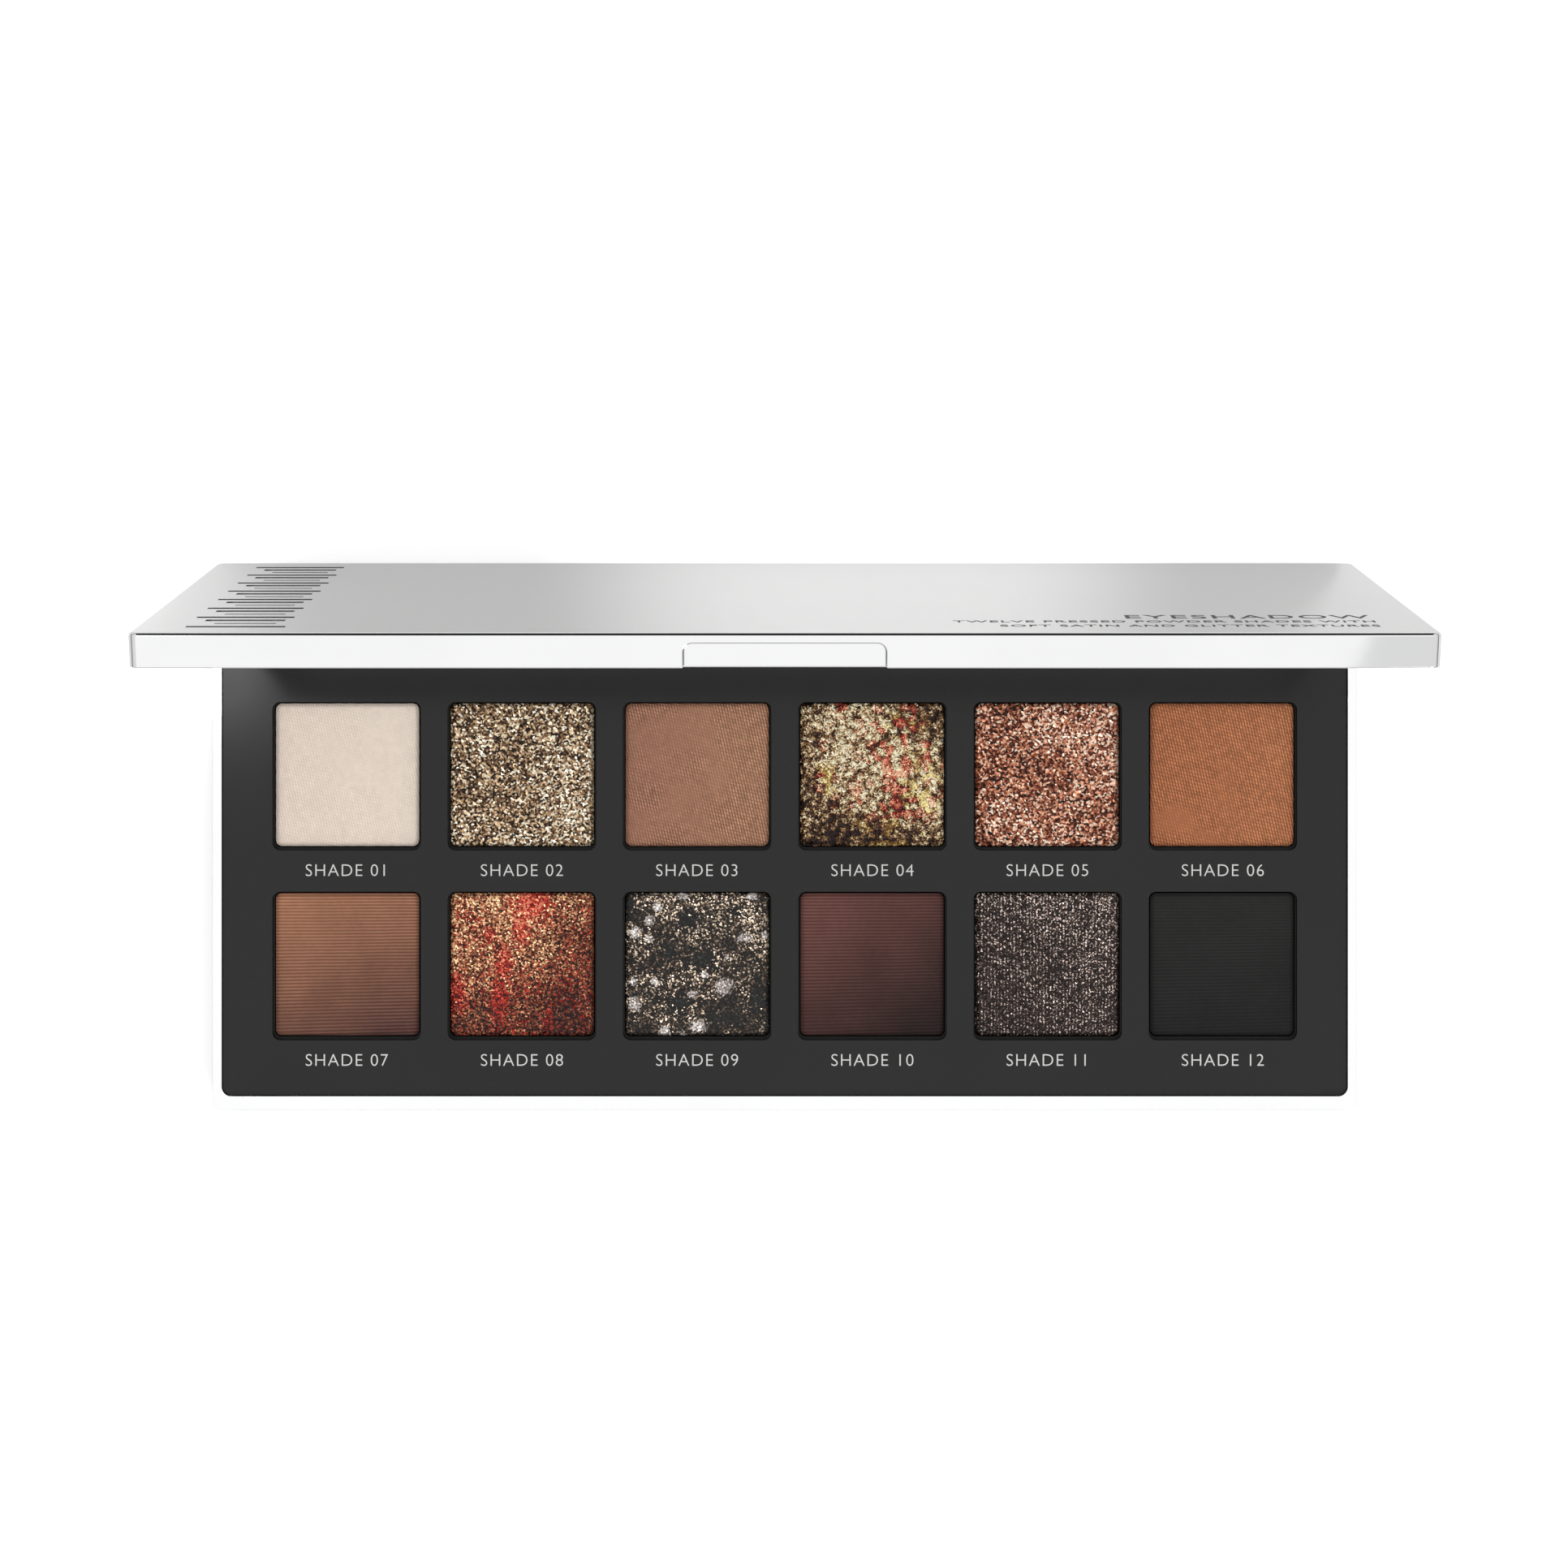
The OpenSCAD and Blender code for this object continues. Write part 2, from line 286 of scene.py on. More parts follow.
def soft_plastic(name, colour, roughness, size=0.5 * MM, gloss=0.5):
    """Paper, tape, glue or ink: a dull surface with a little grain."""
    shader = Shader(name, specular_ior_level=gloss)
    shader.set(shader.surface, "Base Color", shader.ramp(shader.noise(size), [
        (0.3, tuple(0.93 * c for c in colour)), (0.7, colour)]))
    shader.set(shader.surface, "Roughness", shader.span(
        shader.noise(size), roughness - 0.06, roughness + 0.06))
    shader.bump(shader.noise(size / 4), 0.003 * MM)
    return shader.material


def matte_powder(name):
    """Pressed powder: the mesh's tones, which hold painted shade in the hollows of its relief, with
    a fine grain, and no gloss.
    """
    shader = Shader(name, specular_ior_level=0.12)
    tone = shader.attribute("tone").outputs["Color"]
    grain = shader.ramp(shader.noise(0.07 * MM, detail=2.0), [
        (0.3, (0.93,) * 3), (0.7, (1.0,) * 3)])
    shader.set(shader.surface, "Base Color", shader.mix(1.0, tone, grain, "MULTIPLY"))
    shader.set(shader.surface, "Roughness", shader.span(shader.noise(0.3 * MM), 0.78, 0.95))
    shader.bump(shader.noise(0.06 * MM), 0.006 * MM, 0.6)
    return shader.material


def glitter_powder(name, flakes, patches=None, spots=None, flake=0.25, tilt=0.7, shine=0.5):
    """Flakes packed at random, with tones evenly from the first to the last of flakes.

    The mesh's bright attribute shifts how many of them are bright. Where its patch or spot
    attribute is high, patches or spots give the tones instead. flake is a size in millimetres."""
    shader = Shader(name, specular_ior_level=0.15)
    wobble = shader.noise(0.5 * MM, detail=2.0, output="Color")
    place = shader.vector("ADD", shader.place, shader.scaled(wobble, 0.3 * MM))
    cells = shader.cells(flake * MM, place)
    split = shader.add("ShaderNodeSeparateColor", {"Color": cells})
    bright = shader.attribute("bright").outputs["Fac"]
    level = shader.math("ADD", split.outputs[0], shader.math("SUBTRACT", bright, 0.5), clamp=True)

    def evenly(tones):
        """The tones in turn, as level rises."""
        step = 1 / len(tones)
        return shader.ramp(level, [
            ((turn + 0.5) * step, seen(*tone, FLAKES_LIT)) for turn, tone in enumerate(tones)])

    colour = evenly(flakes)
    for attribute, tones, scatter in (("patch", patches, 0.8), ("spot", spots, 0.5)):
        if tones:
            jitter = shader.math(
                "MULTIPLY", shader.math("SUBTRACT", split.outputs[1], 0.5), scatter)
            amount = shader.math("ADD", shader.attribute(attribute).outputs["Fac"], jitter)
            edge = shader.ramp(amount, [(0.45, (0.0,) * 3), (0.55, (1.0,) * 3)])
            colour = shader.mix(edge, colour, evenly(tones))
    shader.set(shader.surface, "Base Color", colour)
    shader.set(shader.surface, "Metallic", shader.span(level, 0.05, shine))
    shader.set(shader.surface, "Roughness", shader.span(split.outputs[1], 0.3, 0.6))
    shader.facets(cells, tilt)
    return shader.material


# ---------------------------------------------------------------- meshes


def link(name, mesh, body, material, replaces=()):
    """Makes a piece from a mesh in the row frame and puts it on its body."""
    piece = bpy.data.objects.new(name, mesh)
    bpy.context.scene.collection.objects.link(piece)
    mesh.materials.clear()
    mesh.materials.append(material)
    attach(piece, body)
    if replaces:
        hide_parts(*replaces)
    return piece


def smooth(piece):
    """Smooth shading with crisp edges, in which each corner faces the way of its largest faces."""
    mesh = piece.data
    limit = math.cos(math.radians(35))
    around = [[] for _vert in mesh.vertices]
    for face in mesh.polygons:
        for vert in face.vertices:
            around[vert].append((face.normal.copy(), face.area))
    corners = []
    for face in mesh.polygons:
        for vert in face.vertices:
            near = [
                normal * area for normal, area in around[vert] if normal.dot(face.normal) > limit]
            corners.append(sum(near, Vector()).normalized())
    mesh.shade_smooth()
    mesh.normals_split_custom_set(corners)


def clean_solid(node, matrix=None):
    """A CAD node's solid as a new bmesh with whole flat faces in place of its triangles."""
    solid = bmesh.new()
    solid.from_mesh(frame["nodes"][node].data)
    if matrix:
        bmesh.ops.transform(solid, matrix=matrix, verts=solid.verts)
    bmesh.ops.remove_doubles(solid, verts=solid.verts, dist=0.0005 * MM)
    bmesh.ops.dissolve_limit(
        solid, angle_limit=math.radians(0.5), use_dissolve_boundaries=False, verts=solid.verts,
        edges=solid.edges, delimit=set())
    return solid


def round_edges(solid, width, chosen=lambda edge: True, clamp=True):
    """Rounds the solid's edges that turn by more than 40 degrees, all by less if clamp needs it."""
    limit = math.radians(40)
    edges = [
        edge for edge in solid.edges
        if len(edge.link_faces) == 2 and edge.calc_face_angle(0) > limit and chosen(edge)]
    bmesh.ops.bevel(
        solid, geom=edges, offset=width, segments=3, profile=0.5, affect="EDGES",
        clamp_overlap=clamp)


def as_mesh(solid, name):
    """A bmesh as a new mesh. It frees the bmesh."""
    mesh = bpy.data.meshes.new(name)
    solid.to_mesh(mesh)
    solid.free()
    return mesh


def box_at(solid, low, high):
    """Adds a closed box between two corners to the solid."""
    made = bmesh.ops.create_cube(solid, size=1.0)["verts"]
    low, high = Vector(low), Vector(high)
    scale = Matrix.Diagonal((*(high - low), 1.0))
    bmesh.ops.transform(solid, matrix=Matrix.Translation((low + high) / 2) @ scale, verts=made)


def final_mesh(thing):
    """What an object looks like with its modifiers, or a text's outlines filled, as a new mesh."""
    shown = thing.evaluated_get(bpy.context.evaluated_depsgraph_get())
    return bpy.data.meshes.new_from_object(shown)


def cut(mesh, cutter, name):
    """mesh less cutter, as a new mesh."""
    body = bpy.data.objects.new("cut_body", mesh)
    tool = bpy.data.objects.new("cut_tool", cutter)
    for thing in (body, tool):
        bpy.context.scene.collection.objects.link(thing)
    modifier = body.modifiers.new("cut", "BOOLEAN")
    modifier.operation, modifier.solver, modifier.object = "DIFFERENCE", "EXACT", tool
    made = final_mesh(body)
    made.name = name
    for thing in (body, tool):
        bpy.data.objects.remove(thing)
    return made


# ---------------------------------------------------------------- shells


def draft(solid):
    """Leans the lid's walls in towards the rim, as they leave the mould."""
    slope = math.tan(math.radians(1))
    for vert in solid.verts:
        inwards = (LID_Z1 - vert.co.z) * slope
        if abs(vert.co.x) > LID_W / 2 - 2 * MM:
            vert.co.x -= math.copysign(inwards, vert.co.x)
        if abs(vert.co.y) > LID_D / 2 - 1.5 * MM:
            vert.co.y -= math.copysign(inwards, vert.co.y)


ORNAMENT_X0, ORNAMENT_X1 = -LID_W / 2 + 6.2 * MM, -LID_W / 2 + 18.2 * MM
ORNAMENT_DEPTH = 0.3 * MM


def ornament_cutter():
    """What a ladder of fine bars takes away, in a column near the lid's left edge."""
    solid = bmesh.new()
    bars, step, above = 22, 3.0 * MM, 1 * MM
    for bar in range(bars):
        y = (bar - (bars - 1) / 2) * step
        inset = (0.0, 3.0, 1.5)[bar % 3] * MM
        thick = (0.55, 0.3, 0.8)[bar % 3] * MM
        box_at(solid, (ORNAMENT_X0 + inset, y - thick, LID_Z1 - ORNAMENT_DEPTH),
               (ORNAMENT_X1 - inset / 2, y + thick, LID_Z1 + above))
    return as_mesh(solid, "ornament_cutter")


def on_top_outline(edge):
    """Whether an edge of the closed lid goes round its outer face, and not round the ornament."""
    near = 2 * MM
    return all(
        vert.co.z > LID_Z1 - HAIR
        and (abs(vert.co.x) > LID_W / 2 - near or abs(vert.co.y) > LID_D / 2 - near)
        for vert in edge.verts)


def below_ornament(edge):
    """Whether an edge of the closed lid reaches below the ornament's floor."""
    return not all(vert.co.z > LID_Z1 - ORNAMENT_DEPTH - HAIR for vert in edge.verts)


def build_lid(silver):
    """The lid's cover, shaped in its closed place: drafted, debossed, and then rounded."""
    solid = clean_solid("lid_shell", OPENED.inverted())
    draft(solid)
    mesh = cut(as_mesh(solid, "lid_shell_drafted"), ornament_cutter(), "lid_cover")
    solid = bmesh.new()
    solid.from_mesh(mesh)
    round_edges(solid, 0.45 * MM, on_top_outline, clamp=False)
    round_edges(solid, 0.18 * MM, below_ornament)
    mesh = as_mesh(solid, "lid_cover")
    mesh.transform(OPENED)
    smooth(link("lid_cover", mesh, "lid", silver, ["lid_shell"]))


def build_rounded(node, name, body, material, width, rim=None):
    """A rounded piece in place of a CAD node. Its uppermost edges are rounded by rim, if given."""
    solid = clean_solid(node)
    if rim:
        top = max(vert.co.z for vert in solid.verts) - HAIR
        round_edges(solid, rim, lambda edge: all(vert.co.z > top for vert in edge.verts))
    round_edges(solid, width)
    smooth(link(name, as_mesh(solid, name), body, material, [node]))


# ---------------------------------------------------------------- powder cakes


CAKE_R = 0.85 * MM
CHAMFER_W, CHAMFER_H = 0.5 * MM, 0.22 * MM
CROWN_H = 0.45 * MM
PAN_METAL = 0.35 * MM
HALF_CAKE = 10 * MM     # what 1 stands for where places on a cake run from -1 to 1


def cake_mesh(name, low, high, counts, relief):
    """A closed cake between two corners, and its top's points about its middle.

    The top is a grid whose corners are drawn in to round ones, its edge is a chamfer, and
    relief(x, y) is added to its height. Under the top the cake steps in to fill its pan."""
    half_x, half_y = (high.x - low.x) / 2, (high.y - low.y) / 2
    nx, ny = counts
    x, y = np.meshgrid(np.linspace(-half_x, half_x, nx), np.linspace(-half_y, half_y, ny))
    in_x = np.clip((np.abs(x) - half_x + CAKE_R) / CAKE_R, 0, 1)
    in_y = np.clip((np.abs(y) - half_y + CAKE_R) / CAKE_R, 0, 1)
    reach = np.hypot(in_x, in_y)
    pull = np.where(reach > 0, np.maximum(in_x, in_y) / np.maximum(reach, 1e-9), 1.0)
    corner = (in_x > 0) & (in_y > 0)
    x = np.where(corner, np.sign(x) * (half_x - CAKE_R + in_x * pull * CAKE_R), x)
    y = np.where(corner, np.sign(y) * (half_y - CAKE_R + in_y * pull * CAKE_R), y)
    out_x, out_y = np.abs(x) - half_x + CAKE_R, np.abs(y) - half_y + CAKE_R
    outside = (np.hypot(np.maximum(out_x, 0), np.maximum(out_y, 0))
               + np.minimum(np.maximum(out_x, out_y), 0))
    inset = np.clip((CAKE_R - outside) / CHAMFER_W, 0, 1)
    z = high.z - CHAMFER_H * (1 - inset) ** 1.25 + relief(x, y)
    top = np.stack([x + (low.x + high.x) / 2, y + (low.y + high.y) / 2, z], axis=-1).reshape(-1, 3)

    index = np.arange(nx * ny).reshape(ny, nx)
    around = [index[:-1, :-1], index[:-1, 1:], index[1:, 1:], index[1:, :-1]]
    quads = np.stack(around, axis=-1).reshape(-1, 4)
    ring = np.concatenate([index[0, :], index[1:, -1], index[-1, -2::-1], index[-2:0:-1, 0]])
    count = len(ring)
    middle = np.array([(low.x + high.x) / 2, (low.y + high.y) / 2, 0])
    shrink = np.array([1 - PAN_METAL / half_x, 1 - PAN_METAL / half_y, 1])
    inner = (top[ring] - middle) * shrink + middle
    levels = [(top[ring], high.z - CROWN_H), (inner, high.z - CROWN_H), (inner, low.z)]
    rings, walls, above = [], [], ring
    for step, (points, height) in enumerate(levels):
        rings.append(np.column_stack([points[:, :2], np.full(count, height)]))
        below = nx * ny + step * count + np.arange(count)
        walls.append(np.stack([np.roll(above, -1), above, below, np.roll(below, -1)], axis=-1))
        above = below
    points = np.concatenate([top, *rings, [[middle[0], middle[1], low.z]]])
    floor = np.stack([np.roll(above, -1), above, np.full(count, len(points) - 1)], axis=-1)

    mesh = bpy.data.meshes.new(name)
    faces = np.concatenate([quads, *walls]).tolist() + floor.tolist()
    mesh.from_pydata(points.tolist(), [], faces)
    mesh.shade_smooth()
    mesh.set_sharp_from_angle(angle=math.radians(60))
    return mesh, x.ravel(), y.ravel()


def paint(mesh, name, values):
    """Stores a value or a colour for each point of the cake's top, and their mean for the rest."""
    values = np.asarray(values, float)
    colour = values.ndim == 2
    kind = "FLOAT_COLOR" if colour else "FLOAT"
    rest = np.repeat(values.mean(axis=0, keepdims=True), len(mesh.vertices) - len(values), axis=0)
    filled = np.concatenate([values, rest])
    attribute = mesh.attributes.new(name, kind, "POINT")
    if colour:
        filled = np.column_stack([filled, np.ones(len(filled))])
    attribute.data.foreach_set("color" if colour else "value", filled.astype(np.float32).ravel())


def twill(seed, depth=0.035 * MM):
    """Fine slanted rows of stitches, pressed in by the cloth that the powder is stamped through."""

    lean, rib, stitch = math.radians(13), 0.37 * MM, 0.52 * MM

    def relief(x, y):
        across = x * math.cos(lean) + y * math.sin(lean) + 0.10 * MM * layered(x, y, 5 * MM, seed)
        along = y * math.cos(lean) - x * math.sin(lean)
        ribs = 0.5 + 0.5 * np.cos(2 * math.pi * across / rib)
        stitches = 0.7 + 0.3 * np.cos(2 * math.pi * (along + 0.5 * across) / stitch)
        uneven = 0.45 + 1.1 * layered(across, along, 0.45 * MM, seed + 3, 2)
        worn = np.clip(3.2 * layered(x, y, 6 * MM, seed + 9) - 0.6, 0.35, 1)
        return depth * (ribs * stitches * uneven - 0.4) * worn

    return relief


def cords(seed, depth=0.05 * MM):
    """Ribs across the pan, a little wider apart towards the front."""

    def relief(x, y):
        slope = 0.014 * x * (1 - y / (10 * MM))
        back = 10 * MM - y + slope + 0.08 * MM * layered(x, y, 4 * MM, seed)
        count = back / (0.425 * MM) * (1 - back / (340 * MM))
        fade = np.clip(0.2 + 1.2 * layered(x, y, 7 * MM, seed + 5), 0.3, 1)
        return depth * (0.5 + 0.5 * np.cos(2 * math.pi * count)) * fade

    return relief


def clumps(x, y, seed):
    """The large clumps of crumbled powder, and a random number for each."""
    bent = 0.7 * MM * layered(x, y, 0.9 * MM, seed + 6)
    return lumps(x + bent, y - bent, 1.05 * MM, seed + 3)


def crumbs(seed):
    """Loose crumbs heaped on each other."""

    def relief(x, y):
        heap = layered(x, y, 4 * MM, seed) - 0.5
        small, _number = lumps(x, y, 0.42 * MM, seed + 4)
        return (0.4 * MM * heap + 0.42 * MM * (clumps(x, y, seed)[0] - 0.6)
                + 0.14 * MM * (small - 0.5))

    return relief


def clump_share(seed, low, high, amount):
    """amount on the clumps whose number lies between low and high, and 0 on the others.

    It takes a place on the cake from -1 to 1 each way."""

    def share(x, y):
        number = clumps(x * HALF_CAKE, y * HALF_CAKE, seed)[1]
        return amount(x, y) * ((number >= low) & (number < high))

    return share


def grains(seed, depth=0.06 * MM):
    """The uneven face of packed flakes."""

    def relief(x, y):
        flat, _number = lumps(x, y, 0.42 * MM, seed)
        return depth * (flat - 0.5) + depth * (layered(x, y, 2 * MM, seed + 2) - 0.5)

    return relief


def tones(x, y, seed, low, high, amount, size=5 * MM):
    """Colours between low and high by amount, with a little unevenness."""
    share = np.clip(amount + 0.2 * (layered(x, y, size, seed) - 0.5), 0, 1)[:, None]
    return np.array(low) * (1 - share) + np.array(high) * share


def span01(values):
    """values stretched to 0 to 1."""
    return (values - values.min()) / (values.max() - values.min())


# ---------------------------------------------------------------- the twelve shades

FLAKES = {
    "gold": [(24, 15, 11), (68, 46, 32), (114, 84, 58), (166, 131, 96), (228, 198, 158),
             (255, 249, 228)],
    "copper": [(34, 10, 6), (92, 40, 24), (138, 70, 46), (182, 110, 80), (230, 168, 134),
               (255, 236, 214)],
    "crumb": [(30, 15, 10), (68, 41, 27), (114, 79, 52), (160, 120, 80), (216, 182, 130),
              (255, 246, 212)],
    "amber": [(100, 66, 32), (160, 120, 60), (214, 178, 104), (252, 234, 166)],
    "brick": [(70, 20, 14), (126, 38, 26), (176, 58, 40), (208, 92, 66), (246, 180, 144)],
    "spice": [(34, 17, 14), (72, 36, 27), (116, 64, 44), (150, 88, 60), (200, 136, 94),
              (255, 212, 162)],
    "red": [(70, 20, 15), (130, 34, 26), (176, 44, 34), (210, 70, 56), (240, 140, 108)],
    "night": [(34, 32, 31), (38, 35, 33), (45, 40, 37), (66, 55, 47), (122, 101, 82),
              (255, 232, 206)],
    "bare": [(40, 40, 39), (42, 42, 41), (46, 45, 44)],
    "silver": [(128, 116, 112), (186, 174, 168), (224, 214, 208), (252, 248, 244)],
    "umber": [(22, 15, 13), (29, 21, 19), (38, 29, 26), (54, 42, 38), (92, 76, 70),
              (255, 232, 220)],
}


def matte_cake(i, relief, counts, low, high, amount, hollow_shade=0.75):
    """A matte cake with tones from low to high by amount(x, y), from -1 to 1 each way.

    Its colour is darker in the hollows of its relief, by the factor given after amount: painted
    shade."""
    name = f"shade_{i:02d}"
    mesh, x, y = cake_mesh(f"powder_{i:02d}", *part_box(name), counts, relief)
    pressed = span01(relief(x, y))
    colours = tones(x, y, 40 + i, low, high, amount(x / HALF_CAKE, y / HALF_CAKE))
    mottle = 0.94 + 0.12 * layered(x, y, 0.6 * MM, 70 + i, 2)
    # painted shade: the colour is darker where the relief is lower
    paint(mesh, "tone", colours * (mottle * (hollow_shade + (1 - hollow_shade) * pressed))[:, None])
    link(f"powder_{i:02d}", mesh, "base", matte_powder(f"matte_{i:02d}"), [name])


def glitter_cake(i, relief, counts, bright, patch=None, spot=None, **look):
    """A cake of flakes. bright, patch and spot take a place on it from -1 to 1 each way."""
    name = f"shade_{i:02d}"
    mesh, x, y = cake_mesh(f"powder_{i:02d}", *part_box(name), counts, relief)
    paint(mesh, "bright", bright(x / HALF_CAKE, y / HALF_CAKE, relief(x, y)))
    for attribute, amount in (("patch", patch), ("spot", spot)):
        if amount:
            paint(mesh, attribute, amount(x / HALF_CAKE, y / HALF_CAKE))
    powder = glitter_powder(f"glitter_{i:02d}", **look)
    link(f"powder_{i:02d}", mesh, "base", powder, [name])


def cloudy(seed, size=0.5, swing=0.5, level=0.5, slope=(0.0, 0.0)):
    """Brightness that drifts about level in clouds, with a slope across the cake."""

    def bright(x, y, _relief=None):
        return level + swing * (layered(x, y, size, seed) - 0.5) + slope[0] * x + slope[1] * y

    return bright


def blots(*places, lift=0.0):
    """Soft round blots. Each place is a middle and two half widths. lift adds a few by noise."""

    def amount(x, y):
        total = lift * layered(x, y, 0.35, 88, 3)
        for middle_x, middle_y, wide, tall in places:
            away = ((x - middle_x) / wide)**2 + ((y - middle_y) / tall)**2
            total = np.maximum(total, np.exp(-0.7 * away))
        return total

    return amount


def build_shades():
    """The twelve cakes."""
    # How many points a top has each way, for slanted stitches, for ribs and for flakes.
    slanted, crosswise, fine = (380, 190), (120, 420), (170, 170)
    # The last number of each matte cake is the factor of the painted shade in its hollows.
    matte_cake(1, twill(11), slanted, seen(232, 214, 200), seen(246, 230, 215),
               lambda x, y: 0.5 + 0.2 * x, 0.72)
    glitter_cake(2, grains(12), fine, cloudy(12, 0.55, 0.4, 0.48, (0.04, -0.03)),
                 flakes=FLAKES["gold"])
    matte_cake(3, twill(13), slanted, seen(205, 145, 121), seen(237, 178, 141),
               lambda x, y: 0.5 + 0.25 * x, 0.2)
    build_crumbled()
    glitter_cake(5, grains(15), fine, cloudy(15, 0.55, 0.4, 0.46, (0.04, -0.03)),
                 flakes=FLAKES["copper"])
    matte_cake(6, twill(16), slanted, seen(225, 138, 95), seen(252, 168, 118),
               lambda x, y: 0.5 + 0.15 * x, 0.2)
    matte_cake(7, cords(17), crosswise, seen(98, 67, 62), seen(194, 136, 106),
               lambda x, y: 0.5 + 0.4 * y - 0.16 * x, 0.4)
    build_streaked()
    build_starry()
    matte_cake(10, cords(20, 0.03 * MM), crosswise, seen(48, 36, 35), seen(116, 76, 70),
               lambda x, y: 0.46 + 0.36 * y - 0.26 * x, 0.5)
    build_knitted()
    matte_cake(12, cords(22, 0.015 * MM), crosswise, seen(33, 33, 33), seen(49, 48, 47),
               lambda x, y: 0.45 + 0.35 * y, 0.6)


def build_knitted():
    """The eleventh shade: fine dark flakes in faint upright rows."""
    clouds = cloudy(21, 0.5, 0.14, 0.4, (0.04, 0.06))
    row = 0.045
    glitter_cake(11, grains(21), (230, 130),
                 lambda x, y, _relief: clouds(x, y) + 0.10 * np.cos(2 * math.pi * x / row),
                 flakes=FLAKES["umber"], flake=0.15)


def build_crumbled():
    """The fourth shade: crumbled gold, with clumps of red and of yellow, painted shade in its
    crevices and painted highlight on its crumbs' tops.
    """

    def bright(x, y, height):
        # painted shade and highlight: darker where the crumbs are low, lighter where they are high
        band = 0.26 * np.exp(-3 * (x + y - 0.1)**2)
        return (0.34 + 1.6 * (span01(height) - 0.5) + 0.5 * (layered(x, y, 0.6, 64) - 0.5)
                + band + 0.1 * y)

    reds = blots((0.35, 0.45, 0.4, 0.6), (0.9, 0.4, 0.25, 0.4), (0.3, -0.35, 0.6, 0.25),
                 (-0.7, 0.1, 0.2, 0.25), (-0.4, 0.95, 0.15, 0.12))
    yellows = blots((0.65, -0.2, 0.3, 0.6), (-0.65, -0.05, 0.15, 0.25), (0.45, 0.7, 0.3, 0.2),
                    (0.2, -0.8, 0.5, 0.25))
    glitter_cake(4, crumbs(14), (230, 230), bright,
                 clump_share(14, 0.0, 0.34, lambda x, y: 1.1 * reds(x, y)),
                 clump_share(14, 0.6, 1.0, lambda x, y: 0.8 * yellows(x, y)),
                 flakes=FLAKES["crumb"], patches=FLAKES["brick"], spots=FLAKES["amber"],
                 flake=0.16, shine=0.35)


def build_streaked():
    """The eighth shade: copper flakes with streaks of red."""
    reds = blots((0.12, 0.85, 0.28, 0.3), (-0.02, 0.45, 0.12, 0.22), (-0.25, 0.0, 0.14, 0.28),
                 (-0.32, -0.5, 0.13, 0.38), (-0.9, -0.4, 0.15, 0.3), (0.35, -0.8, 0.08, 0.22),
                 (-0.45, 0.4, 0.1, 0.1), lift=0.52)
    glitter_cake(8, grains(18), (170, 170), cloudy(18, 0.6, 0.4, 0.4, (-0.08, 0.22)), reds,
                 flakes=FLAKES["spice"], patches=FLAKES["red"], flake=0.2)


def build_starry():
    """The ninth shade: near black, with gold specks and lumps of silver."""
    bare = blots((0.05, 0.05, 0.22, 0.17), (-0.13, 0.6, 0.17, 0.13), (0.85, -0.5, 0.14, 0.2),
                 (-0.25, -0.55, 0.17, 0.13), (-0.95, 0.85, 0.1, 0.16), (0.3, -0.75, 0.24, 0.11),
                 (-0.4, 0.15, 0.11, 0.08), (0.5, 0.7, 0.09, 0.08), lift=0.4)
    silver = blots((-0.54, 0.78, 0.06, 0.05), (-0.2, 0.94, 0.08, 0.05), (-0.66, 0.6, 0.06, 0.07),
                   (-0.86, 0.44, 0.07, 0.07), (0.36, -0.31, 0.12, 0.11), (-0.86, -0.55, 0.08, 0.09),
                   (-0.58, -0.25, 0.05, 0.05), (0.64, 0.36, 0.1, 0.05), (-0.06, -0.42, 0.06, 0.05),
                   (-0.45, -0.92, 0.07, 0.08), (0.02, -0.86, 0.1, 0.08), (0.76, 0.94, 0.08, 0.05),
                   (-0.88, -0.24, 0.05, 0.05), (0.1, -0.15, 0.05, 0.04), (0.92, 0.4, 0.04, 0.05),
                   (-0.66, 0.35, 0.05, 0.05), (0.4, 0.1, 0.03, 0.03), (-0.2, -0.97, 0.05, 0.04))
    glitter_cake(9, grains(19), (170, 170), cloudy(19, 0.22, 0.6, 0.42, (0.0, 0.08)), bare, silver,
                 flakes=FLAKES["night"], patches=FLAKES["bare"], spots=FLAKES["silver"], flake=0.19)


# ---------------------------------------------------------------- printing


def lettering(words, height, name, weight):
    """A thin mesh of generic words, centred on the origin in XY, with capitals height tall.

    weight is how far the strokes are thickened on each side. The font's M fills in when it is
    thickened, so none of the words has one."""
    curve = bpy.data.curves.new(name, "FONT")
    curve.body = words
    curve.align_x, curve.align_y = "CENTER", "CENTER"
    capital = 0.69      # of the built-in font's size
    curve.size = height / capital
    curve.space_character = 1.12
    curve.extrude = 0.012 * MM
    curve.offset = weight
    curve.resolution_u = 4
    holder = bpy.data.objects.new(name, curve)
    bpy.context.scene.collection.objects.link(holder)
    mesh = final_mesh(holder)
    bpy.data.objects.remove(holder)
    return mesh


def build_labels(ink):
    """A generic printed label in front of each pan."""
    height, thinner, in_front = 1.65 * MM, -0.025 * MM, 3.4 * MM
    for i in range(1, SHADE_COUNT + 1):
        low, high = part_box(f"shade_{i:02d}")
        mesh = lettering(f"SHADE {i:02d}", height, f"label_{i:02d}", thinner)
        mesh.transform(Matrix.Translation(((low.x + high.x) / 2, low.y - in_front, PLATE_Z1)))
        link(f"label_{i:02d}", mesh, "base", ink)


